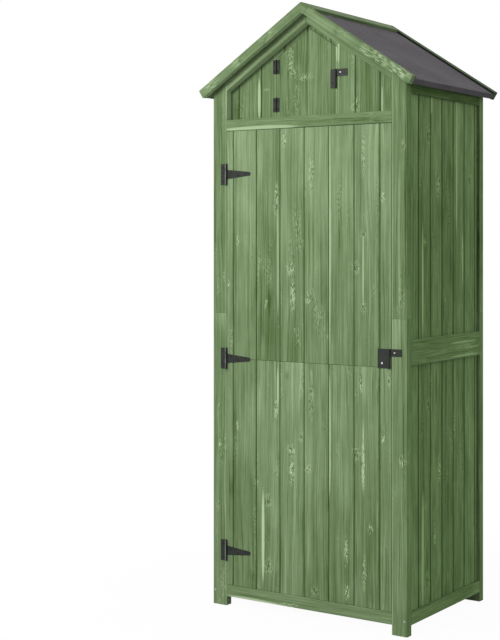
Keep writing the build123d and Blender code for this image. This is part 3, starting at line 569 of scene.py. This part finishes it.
def stained_wood(
    name, wood, grain="Z", boards=None, face="X", seed=0, marks=None, level=0.0, contrast=1.0, light_fade=None,
    joints=0.8, seam=0.0019, edges=0.0, underside_light=0.0,
):
    """Stained softwood with its grain along one axis.

    boards gives the axis, first joint and pitch of a panel, joints how dark its joints are and seam how far
    the dark reaches from them. marks lie at places along the face's axis and height. light_fade gives two
    heights and the change of level at each, painted light and shade that changes with height. edges is the
    change of level on the narrow sides, which the posts use as painted light; underside_light is painted
    light, the change of level on faces turned down.
    """
    r = Recipe(bpy.data.materials.new(name))
    x, y, z = r.coordinates("Object")
    axes = {"X": x, "Y": y}
    number = seed
    if boards:
        axis, first, pitch = boards
        steps = r.math("DIVIDE", r.math("SUBTRACT", axes[axis], first), pitch)
        number = r.add(r.math("FLOOR", steps), seed)
        offset = r.times(r.math("FRACT", steps), pitch)
        joint = r.math("MINIMUM", offset, r.math("SUBTRACT", pitch, offset))
    timber = Grain(r, grain, (x, y, z), number)
    tone = r.chance(number)
    fine = timber.drawn_out(wood.grain_width, 110.0, 2.0)
    streak = timber.drawn_out(wood.streak_width, 60.0, 3.0)
    band = timber.drawn_out(wood.band_width, 24.0, 2.0)
    cloud = timber.drawn_out(0.06, 3.0, 4.0, 0.65)
    shade = r.add(
        r.swing(fine, 0.34), r.swing(streak, 0.33), r.swing(band, 0.26), r.swing(cloud, 0.38),
        r.swing(tone, 0.10), r.ease(fine, 0.43, 0.34, 0.0, -0.10), r.ease(fine, 0.59, 0.68, 0.0, 0.10),
    )
    shade = r.math("MULTIPLY_ADD", shade, contrast, PLAIN_SHADE + level)
    # Painted light and shade: the level changes between two heights
    if light_fade:
        low, high, below, above = light_fade
        shade = r.add(shade, r.ease(z, low, high, below, above))
    masks = mark_masks(r, timber, fine, marks or {}, axes[face], z)
    chips = timber.drawn_out(wood.chip_width, 9.0 if grain == "SLOPE" else 3.2, 2.0)
    shade = marked(r, shade, masks, streak, chips)
    if boards:
        shade = r.toward(shade, GROOVE_SHADE, r.ease(joint, seam, seam / 3, 0.0, joints))
    right, rear, up = r.coordinates("Normal")
    if edges:
        shade = r.add(shade, r.ease(r.math("ABSOLUTE", rear), 0.7, 0.3, 0.0, edges))
    # Painted light: faces turned down are made lighter, lifting their shade
    if underside_light:
        shade = r.add(shade, r.ease(up, -0.4, -0.8, 0.0, underside_light))
    colours = (wood.groove, wood.deep, wood.stain, wood.pale, wood.bare)
    colour = r.ramp(shade, *((at / 4, colour) for at, colour in enumerate(colours)))
    # Painted shade colour on the faces turned to the right, on the right half of the shed
    shaded_side = r.times(r.ease(right, 0.70, 0.95), r.ease(x, 0.0, 0.02))
    colour = r.mixed(colour, wood.shaded_side_tint, shaded_side, "MULTIPLY")
    height = r.add(r.times(fine, 0.7), r.times(streak, 0.6), r.times(masks["knot"], -0.5))
    return r.finish(
        colour, r.ease(streak, 0.3, 0.7, 0.88, 0.74), height, wood.grain_depth, 0.6, Specular_IOR_Level=0.25
    )


def black_iron(name, iron, glint=None):
    """Satin black paint with dust on it, and a painted highlight along an upright line at a place in
    metres.
    """
    r = Recipe(bpy.data.materials.new(name))
    place = r.coordinates("Object")
    dust = r.noise(r.scaled(place, 55.0), 4.0, 0.65)
    grain = r.noise(r.scaled(place, 900.0), 2.0)
    settled = r.add(r.times(dust, 0.75), r.times(grain, 0.25))
    colour = r.ramp(settled, (0.36, iron.black), (0.66, iron.dusty))
    if glint is not None:
        # Painted highlight along the knuckle, broken up by the dust
        off = r.math("ABSOLUTE", r.math("SUBTRACT", place[0], glint))
        glint_mask = r.times(r.ease(off, GLINT_REACH, GLINT_CORE), r.ease(dust, 0.35, 0.55, 0.4, 1.0))
        colour = r.mixed(colour, iron.knuckle_glint, glint_mask)
    gloss = r.ease(dust, 0.3, 0.7, 0.40, 0.58)
    return r.finish(colour, gloss, grain, 0.0002, 0.35, Specular_IOR_Level=0.28)


def bright_zinc(name, iron, share=1.0):
    """Plating with a drawn grain, at a share of its full brightness."""
    r = Recipe(bpy.data.materials.new(name))
    place = r.coordinates("Object")
    drawn = r.noise(r.scaled(place, 700.0, 60.0, 700.0), 3.0)
    spots = r.noise(r.scaled(place, 300.0), 3.0)
    dark, light = (tuple(part * share * v for v in iron.zinc) for part in (0.80, 1.0))
    colour = r.ramp(spots, (0.35, dark), (0.65, light))
    return r.finish(colour, r.ease(drawn, 0.3, 0.7, 0.24, 0.42), drawn, 0.0001, 0.3, Metallic=0.35)


def roof_felt(name, felt):
    """Bitumen felt with slate grit, worn thinner in patches."""
    r = Recipe(bpy.data.materials.new(name))
    place = r.coordinates("Object")
    fine = r.noise(r.scaled(place, 1.0 / felt.grit_size), 3.0, 0.7)
    cloud = r.noise(r.scaled(place, 7.0, 5.0, 7.0), 4.0, 0.6)
    value = r.add(fine, r.swing(cloud, 0.35))
    rear = r.coordinates("Normal")[1]
    # Faces turned to the front or back, the turned-up edges, go dark toward the bitumen: partly its own
    # colour, partly painted shade
    value = r.add(value, r.ease(r.math("ABSOLUTE", rear), 0.4, 0.8, 0.0, -0.6))
    colour = r.ramp(value, (0.0, felt.edge), (0.25, felt.dark), (0.52, felt.slate), (0.80, felt.light))
    wave = r.noise(r.scaled(place, 16.0, 9.0, 16.0), 2.0)
    height = r.add(r.times(fine, 0.35), r.times(wave, 1.6))
    return r.finish(colour, r.ease(fine, 0.3, 0.7, 0.95, 0.82), height, 0.0012, 0.5, Specular_IOR_Level=0.2)


def dress(material, *nodes):
    """Gives CAD nodes one material over all their faces."""
    for name in nodes:
        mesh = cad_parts[name].data
        mesh.materials.clear()
        mesh.materials.append(material)


def new_piece(name, work, material, body, slot, *nodes):
    """Object from a finished bmesh that stands for CAD nodes and moves with their body."""
    mesh = bpy.data.meshes.new(name)
    work.to_mesh(mesh)
    work.free()
    mesh.materials.append(material)
    piece = bpy.data.objects.new(name, mesh)
    bpy.context.scene.collection.objects.link(piece)
    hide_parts(*nodes)
    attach(piece, body)
    return piece


def merged_copy(node):
    """Copy of a CAD node's mesh with its triangles joined into whole faces."""
    work = bmesh.new()
    work.from_mesh(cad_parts[node].data)
    bmesh.ops.remove_doubles(work, verts=work.verts, dist=1e-6)
    bmesh.ops.dissolve_limit(work, angle_limit=radians(0.5), verts=work.verts, edges=work.edges)
    return work


def soften(material, rounding, *nodes):
    """Rounds the long sharp edges of the shed's fixed timber, each CAD node in a piece of its own."""
    shortest = LONG_EDGE * rounding
    for node in nodes:
        work = merged_copy(node)
        long = [edge for edge in work.edges if edge.is_manifold and edge.calc_length() > shortest]
        sharp = [edge for edge in long if edge.calc_face_angle() > SHARP_EDGE]
        if not sharp:
            raise RuntimeError(f"{node} has no edge to round")
        bmesh.ops.bevel(
            work, geom=sharp, offset=rounding, offset_type="OFFSET", segments=2, profile=0.5,
            affect="EDGES", clamp_overlap=True, material=-1,
        )
        new_piece(f"{node}_soft", work, material, "shed", "stained_wood", node)


class SHED_OT_front_boards(bpy.types.Operator):
    """Stain the boards of the door, the hatch, the gable and the back"""

    bl_idname = "shed.front_boards"
    bl_label = "Front and back boards"

    def execute(self, context):
        wood = context.scene.shed_wood
        # The doors grow darker toward the bottom and lighter toward the top: painted light and shade
        dress(
            stained_wood(
                "upper_door_stain", wood, boards=DOOR_BOARDS, seed=3, marks=UPPER_DOOR_MARKS,
                light_fade=(0.85, 1.40, -0.06, 0.055),
            ),
            "door_boards_upper",
        )
        dress(
            stained_wood(
                "lower_door_stain", wood, boards=DOOR_BOARDS, seed=23, marks=LOWER_DOOR_MARKS,
                light_fade=(0.15, 0.72, -0.04, 0.05),
            ),
            "door_boards_lower",
        )
        dress(
            stained_wood("gable_stain", wood, boards=GABLE_BOARDS, seed=41, marks=GABLE_MARKS, level=-0.05),
            "gable_boards",
        )
        dress(
            stained_wood(
                "hatch_stain", wood, boards=GABLE_BOARDS, seed=45, marks=HATCH_MARKS, level=-0.06,
                joints=0.12,
            ),
            "hatch_boards",
        )
        dress(
            stained_wood(
                "back_stain", wood, boards=BACK_BOARDS, seed=67,
                marks=scattered_marks(5, 30, 280, 100, 1650),
            ),
            "back_boards",
        )
        return {"FINISHED"}


class SHED_OT_side_boards(bpy.types.Operator):
    """Stain the boards of both side walls"""

    bl_idname = "shed.side_boards"
    bl_label = "Side boards"

    def execute(self, context):
        wood = context.scene.shed_wood
        # The right side is lighter toward its top: painted light that lifts the eave's shadow
        dress(
            stained_wood(
                "right_side_stain", wood, boards=SIDE_BOARDS, face="Y", seed=89, marks=RIGHT_SIDE_MARKS,
                level=0.02, contrast=1.25, light_fade=(1.20, 1.50, 0.0, 0.10), joints=0.62, seam=0.0042,
            ),
            "right_side_boards",
        )
        dress(
            stained_wood(
                "left_side_stain", wood, boards=SIDE_BOARDS, face="Y", seed=107,
                marks=scattered_marks(8, 25, 200, 100, 1500),
            ),
            "left_side_boards",
        )
        return {"FINISHED"}


class SHED_OT_posts_and_rails(bpy.types.Operator):
    """Stain the posts, rails and strips, and round the edges of the rails"""

    bl_idname = "shed.posts_and_rails"
    bl_label = "Posts and rails"

    def execute(self, context):
        wood = context.scene.shed_wood
        corners = [f"{end}_{hand}_post" for end in ("front", "rear") for hand in ("left", "right")]
        # Painted light: edges lifts the narrow sides of the posts, most on the upper ones, where it
        # lightens the left post's shaded inner face beside the gable
        upper = stained_wood(
            "upper_post_stain", wood, seed=5, marks=UPPER_POST_MARKS, level=-0.06, edges=0.15
        )
        lower = stained_wood(
            "lower_post_stain", wood, seed=6, marks=LOWER_POST_MARKS, level=-0.08, edges=0.04
        )
        dress(upper, *(f"{corner}_upper" for corner in corners))
        dress(lower, *(f"{corner}_lower" for corner in corners))
        front = stained_wood(
            "front_rail_stain", wood, grain="X", seed=7, marks=FRONT_RAIL_MARKS, level=-0.04, contrast=0.8
        )
        soften(front, wood.rounding, "front_bottom_rail", "header_rail")
        back = stained_wood("back_rail_stain", wood, grain="X", seed=8)
        soften(back, wood.rounding, "back_bottom_rail", "back_belly_rail")
        side = stained_wood("side_rail_stain", wood, grain="Y", face="Y", seed=9, marks=SIDE_RAIL_MARKS)
        soften(side, wood.rounding, "bottom_side_rails", "belly_side_rails")
        # Painted shade: the rail beneath the eave is stained much darker for the eave's shadow
        shaded_eave_rail = stained_wood("eave_rail_shaded_stain", wood, grain="Y", seed=10, level=-0.22)
        soften(shaded_eave_rail, wood.rounding, "top_side_rails")
        dress(lower, "corner_battens", "shelf_uprights")
        dress(back, "door_ledges", "hatch_ledges")
        dress(side, "floor_bearers", "shelf_cleats", "loft_bearers")
        return {"FINISHED"}


class SHED_OT_inner_boards(bpy.types.Operator):
    """Stain the floor, the shelves and the loft"""

    bl_idname = "shed.inner_boards"
    bl_label = "Inner boards"

    def execute(self, context):
        wood = context.scene.shed_wood
        dress(
            stained_wood("inner_stain", wood, grain="X", boards=FLOOR_BOARDS, seed=13),
            "floor_boards", "loft_boards", "shelf_boards",
        )
        return {"FINISHED"}


class SHED_OT_roof_edges(bpy.types.Operator):
    """Stain the barge boards, the rafters, the ridge and the roof boards"""

    bl_idname = "shed.roof_edges"
    bl_label = "Roof timber"

    def execute(self, context):
        wood = context.scene.shed_wood
        # The barges and rafters get painted light on their undersides
        front = stained_wood(
            "front_barge_stain", wood, grain="SLOPE", seed=17, marks=FRONT_BARGE_MARKS, level=-0.07,
            underside_light=UNDERSIDE_LIGHT,
        )
        soften(front, wood.rounding, "front_left_barge", "front_right_barge")
        rear = stained_wood("rear_barge_stain", wood, grain="SLOPE", seed=18, edges=-0.40)
        soften(rear, wood.rounding, "rear_left_barge", "rear_right_barge")
        rafters = stained_wood("rafter_stain", wood, grain="SLOPE", seed=19, underside_light=UNDERSIDE_LIGHT)
        dress(rafters, "front_rafters", "rear_rafters")
        dress(
            stained_wood("roof_board_stain", wood, grain="Y", seed=29),
            "ridge_cap", "roof_deck_left", "roof_deck_right",
        )
        return {"FINISHED"}


class SHED_OT_felt(bpy.types.Operator):
    """Lay grit on the roof felt"""

    bl_idname = "shed.felt"
    bl_label = "Roof felt"

    def execute(self, context):
        dress(roof_felt("slate_felt", context.scene.shed_felt), "felt_left", "felt_right")
        return {"FINISHED"}


class SHED_OT_ironwork(bpy.types.Operator):
    """Paint the hinges and hasps and plate the studs"""

    bl_idname = "shed.ironwork"
    bl_label = "Ironwork"

    def execute(self, context):
        iron = context.scene.shed_iron
        # The strap hinges carry a painted highlight along their knuckles at the door's hinge pin
        dress(black_iron("glinting_iron_paint", iron, DOOR_PIN), "hinge_post_leaves", "hinge_straps")
        dress(
            black_iron("black_iron_paint", iron),
            "hatch_frame_leaves", "hatch_leaves", "hinge_pins",
            "door_hasp_leaf", "door_hasp_strap", "door_hasp_pin",
            "hatch_hasp_leaf", "hatch_hasp_strap", "hatch_hasp_pin",
        )
        dress(bright_zinc("stud_zinc", iron), "catch_studs")
        return {"FINISHED"}


class SHED_OT_screws(bpy.types.Operator):
    """Set cross-recess screws in place of the plain heads"""

    bl_idname = "shed.screws"
    bl_label = "Screws"

    def execute(self, context):
        iron = context.scene.shed_iron
        black = black_iron("screw_paint", iron)
        zinc = bright_zinc("screw_zinc", iron)
        stained = bright_zinc("stained_zinc", iron, iron.dull_share)
        for node, body, material, slot in (
            ("frame_screws", "shed", black, "black_iron"),
            ("door_screws", "door", black, "black_iron"),
            ("hatch_screws", "hatch", black, "black_iron"),
            ("hasp_screw", "door", zinc, "bright_zinc"),
            ("post_screws", "shed", stained, "bright_zinc"),
        ):
            turn = random.Random(node)
            heads = bmesh.new()
            for place, shank, length in self.places(node):
                turned = Matrix.Rotation(turn.uniform(0, pi), 4, "Y")
                self.screw(heads, iron, Matrix.Translation(place) @ turned, shank, length)
            if not heads.faces:
                raise RuntimeError(f"{node} has no screw")
            bmesh.ops.recalc_face_normals(heads, faces=heads.faces)
            piece = new_piece(f"{node}_heads", heads, material, body, slot, node)
            piece.data.shade_smooth()
            piece.data.set_sharp_from_angle(angle=radians(35))
        return {"FINISHED"}

    def places(self, node):
        """Middle of the foremost face, shank radius and length of each screw in a CAD node."""
        work = merged_copy(node)
        loose = dict.fromkeys(work.verts)
        while loose:
            group = [loose.popitem()[0]]
            for vert in group:
                for edge in vert.link_edges:
                    other = edge.other_vert(vert)
                    if other in loose:
                        del loose[other]
                        group.append(other)
            xs, ys, zs = zip(*(vert.co for vert in group))
            place = Vector(((min(xs) + max(xs)) / 2, min(ys), (min(zs) + max(zs)) / 2))
            tip = [vert.co for vert in group if vert.co.y > max(ys) - MM / 10]
            yield place, max((at - place).xz.length for at in tip), max(ys) - min(ys)
        work.free()

    def screw(self, heads, iron, place, shank, length):
        """Screw that faces -Y: a domed head, its top at the place, with a cross sunk in it, on a shank."""
        radius, height = iron.head_radius, iron.head_height
        flat, arm, sink = 0.55 * radius, 0.1 * radius, 0.7 * height
        upright = place @ Matrix.Rotation(radians(90), 4, "X")
        grid = bmesh.ops.create_grid(heads, x_segments=5, y_segments=5, size=flat, matrix=upright)
        faces = dict.fromkeys(face for vert in grid["verts"] for face in vert.link_faces)
        ring = [edge for face in faces for edge in face.edges if edge.is_boundary]
        inward = upright.inverted()
        centres = {face: inward @ face.calc_center_median() for face in faces}
        cross = [face for face in faces if min(abs(centres[face].x), abs(centres[face].y)) < arm]
        dome = ((0.78 * radius, 0), (radius, 0.45 * height), (radius, height))
        for wide, drop in (*dome, (shank, height), (shank, length)):
            grown = bmesh.ops.extrude_edge_only(heads, edges=ring)["geom"]
            ring = [item for item in grown if isinstance(item, bmesh.types.BMEdge)]
            for vert in grown:
                if isinstance(vert, bmesh.types.BMVert):
                    out = inward @ vert.co
                    vert.co = upright @ (out.xy.normalized() * wide).to_3d() + Vector((0, drop, 0))
        bmesh.ops.edgeloop_fill(heads, edges=ring)
        sunk = bmesh.ops.extrude_face_region(heads, geom=cross)["geom"]
        floor = [item for item in sunk if isinstance(item, bmesh.types.BMVert)]
        bmesh.ops.translate(heads, verts=floor, vec=(0, sink, 0))
        bmesh.ops.delete(heads, geom=cross, context="FACES")


class SHED_OT_stage(bpy.types.Operator):
    """Set the floor, the soft light and the camera"""

    bl_idname = "shed.stage"
    bl_label = "Studio stage"

    def execute(self, context):
        stage = context.scene.shed_stage
        self.floor(context, stage)
        self.light(context, stage)
        self.camera(context, stage)
        context.scene.view_settings.view_transform = "Standard"
        return {"FINISHED"}

    def seen(self, recipe):
        """1 for rays that show the background: from the camera, off gloss or through glass."""
        path = recipe.node("ShaderNodeLightPath")
        seen = path.outputs["Is Camera Ray"]
        for other in ("Is Glossy Ray", "Is Transmission Ray"):
            seen = recipe.math("MAXIMUM", seen, path.outputs[other])
        return seen

    def floor(self, context, stage):
        mesh = bpy.data.meshes.new("studio_floor")
        ground = bmesh.new()
        bmesh.ops.create_circle(ground, cap_ends=True, segments=96, radius=stage.floor_radius)
        ground.to_mesh(mesh)
        ground.free()
        floor = bpy.data.objects.new("studio_floor", mesh)
        context.scene.collection.objects.link(floor)
        r = Recipe(bpy.data.materials.new("floor_paper"))
        x, y, _ = r.coordinates("Object")
        away = r.math("SQRT", r.add(r.times(x, x), r.times(y, y)))
        white = r.ease(away, NEAR_START, NEAR_STOP, NEAR_WHITE, 1.0)
        lit = r.node("ShaderNodeEmission").outputs[0]
        shown = r.blended(white, r.diffuse(stage.floor), lit)
        both = r.blended(self.seen(r), r.diffuse((stage.floor_bounce,) * 3), shown)
        r.feed(r.node("ShaderNodeOutputMaterial").inputs[0], both)
        mesh.materials.append(r.owner)

    def light(self, context, stage):
        lamp = bpy.data.lights.new("soft_key", "AREA")
        lamp.shape = "DISK"
        lamp.size = stage.key_size
        lamp.energy = stage.key_power
        key = bpy.data.objects.new("soft_key", lamp)
        key.location = stage.key_place
        middle = (Vector(cad_box[0]) + Vector(cad_box[1])) / 2
        key.rotation_euler = (middle - key.location).to_track_quat("-Z", "Y").to_euler()
        context.scene.collection.objects.link(key)
        r = Recipe(bpy.data.worlds.new("studio_sky"))
        context.scene.world = r.owner
        sky = r.node("ShaderNodeBackground")
        r.feed(sky.inputs["Color"], (1, 1, 1))
        r.feed(sky.inputs["Strength"], r.ease(self.seen(r), 0.0, 1.0, stage.sky, 1.0))
        r.feed(r.node("ShaderNodeOutputWorld").inputs[0], sky.outputs[0])

    def camera(self, context, stage):
        lens = bpy.data.cameras.new("photo_camera")
        lens.lens = stage.lens
        lens.sensor_width = SENSOR_WIDTH
        lens.shift_x, lens.shift_y = stage.shift
        camera = bpy.data.objects.new("photo_camera", lens)
        camera.location = stage.camera_place
        camera.rotation_euler = (radians(90), 0, stage.camera_turn)
        context.scene.collection.objects.link(camera)
        context.scene.camera = camera


class SHED_PT_panel(bpy.types.Panel):
    """Lists the steps that dress the shed"""

    bl_idname = "SHED_PT_panel"
    bl_label = "Garden shed"
    bl_space_type = "VIEW_3D"
    bl_region_type = "UI"
    bl_category = "Shed"

    def draw(self, context):
        for step in STEPS:
            self.layout.operator(step.bl_idname)
        for group, kind in SETTINGS:
            for key in kind.__annotations__:
                self.layout.prop(getattr(context.scene, group), key)


STEPS = (
    SHED_OT_front_boards, SHED_OT_side_boards, SHED_OT_posts_and_rails, SHED_OT_inner_boards,
    SHED_OT_roof_edges, SHED_OT_felt, SHED_OT_ironwork, SHED_OT_screws, SHED_OT_stage,
)
SETTINGS = (
    ("shed_wood", ShedWood), ("shed_iron", ShedIron), ("shed_felt", ShedFelt), ("shed_stage", ShedStage),
)


def register():
    for name, group in SETTINGS:
        bpy.utils.register_class(group)
        setattr(bpy.types.Scene, name, PointerProperty(type=group))
    for kind in (*STEPS, SHED_PT_panel):
        bpy.utils.register_class(kind)


def unregister():
    for kind in (SHED_PT_panel, *reversed(STEPS)):
        bpy.utils.unregister_class(kind)
    for name, group in reversed(SETTINGS):
        delattr(bpy.types.Scene, name)
        bpy.utils.unregister_class(group)


def main():
    register()
    bpy.ops.shed.front_boards()
    bpy.ops.shed.side_boards()
    bpy.ops.shed.posts_and_rails()
    bpy.ops.shed.inner_boards()
    bpy.ops.shed.roof_edges()
    bpy.ops.shed.felt()
    bpy.ops.shed.ironwork()
    bpy.ops.shed.screws()
    bpy.ops.shed.stage()


if __name__ == "__main__":
    main()
